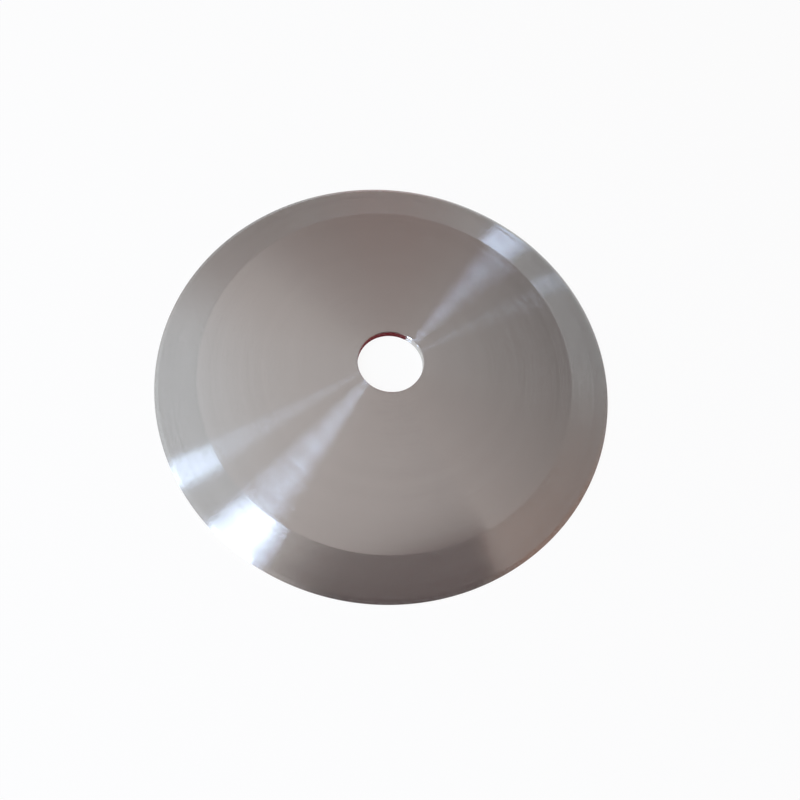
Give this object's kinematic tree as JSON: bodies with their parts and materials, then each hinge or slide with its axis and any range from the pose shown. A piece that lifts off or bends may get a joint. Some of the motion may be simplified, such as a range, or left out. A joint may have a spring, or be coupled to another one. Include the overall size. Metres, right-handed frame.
{
  "type": "circular slitter knife",
  "caption": "Round steel slitter knife: a flat ground disc with a plain shaft bore, bevelled on both sides to a honed edge, for slitting film, paper or foil.",
  "frame": {"origin": "centre of the bore on the lower flat face", "axes": "+Z along the bore axis, out of the upper flat face; the knife is round, so X and Y are alike"},
  "size_m": [0.15, 0.15, 0.003],
  "materials": {
    "steel": "fine ground in circles, satin on the flat faces and brighter on the bevels"
  },
  "bodies": {
    "root": {"knife": "steel"}
  },
  "joints": []
}
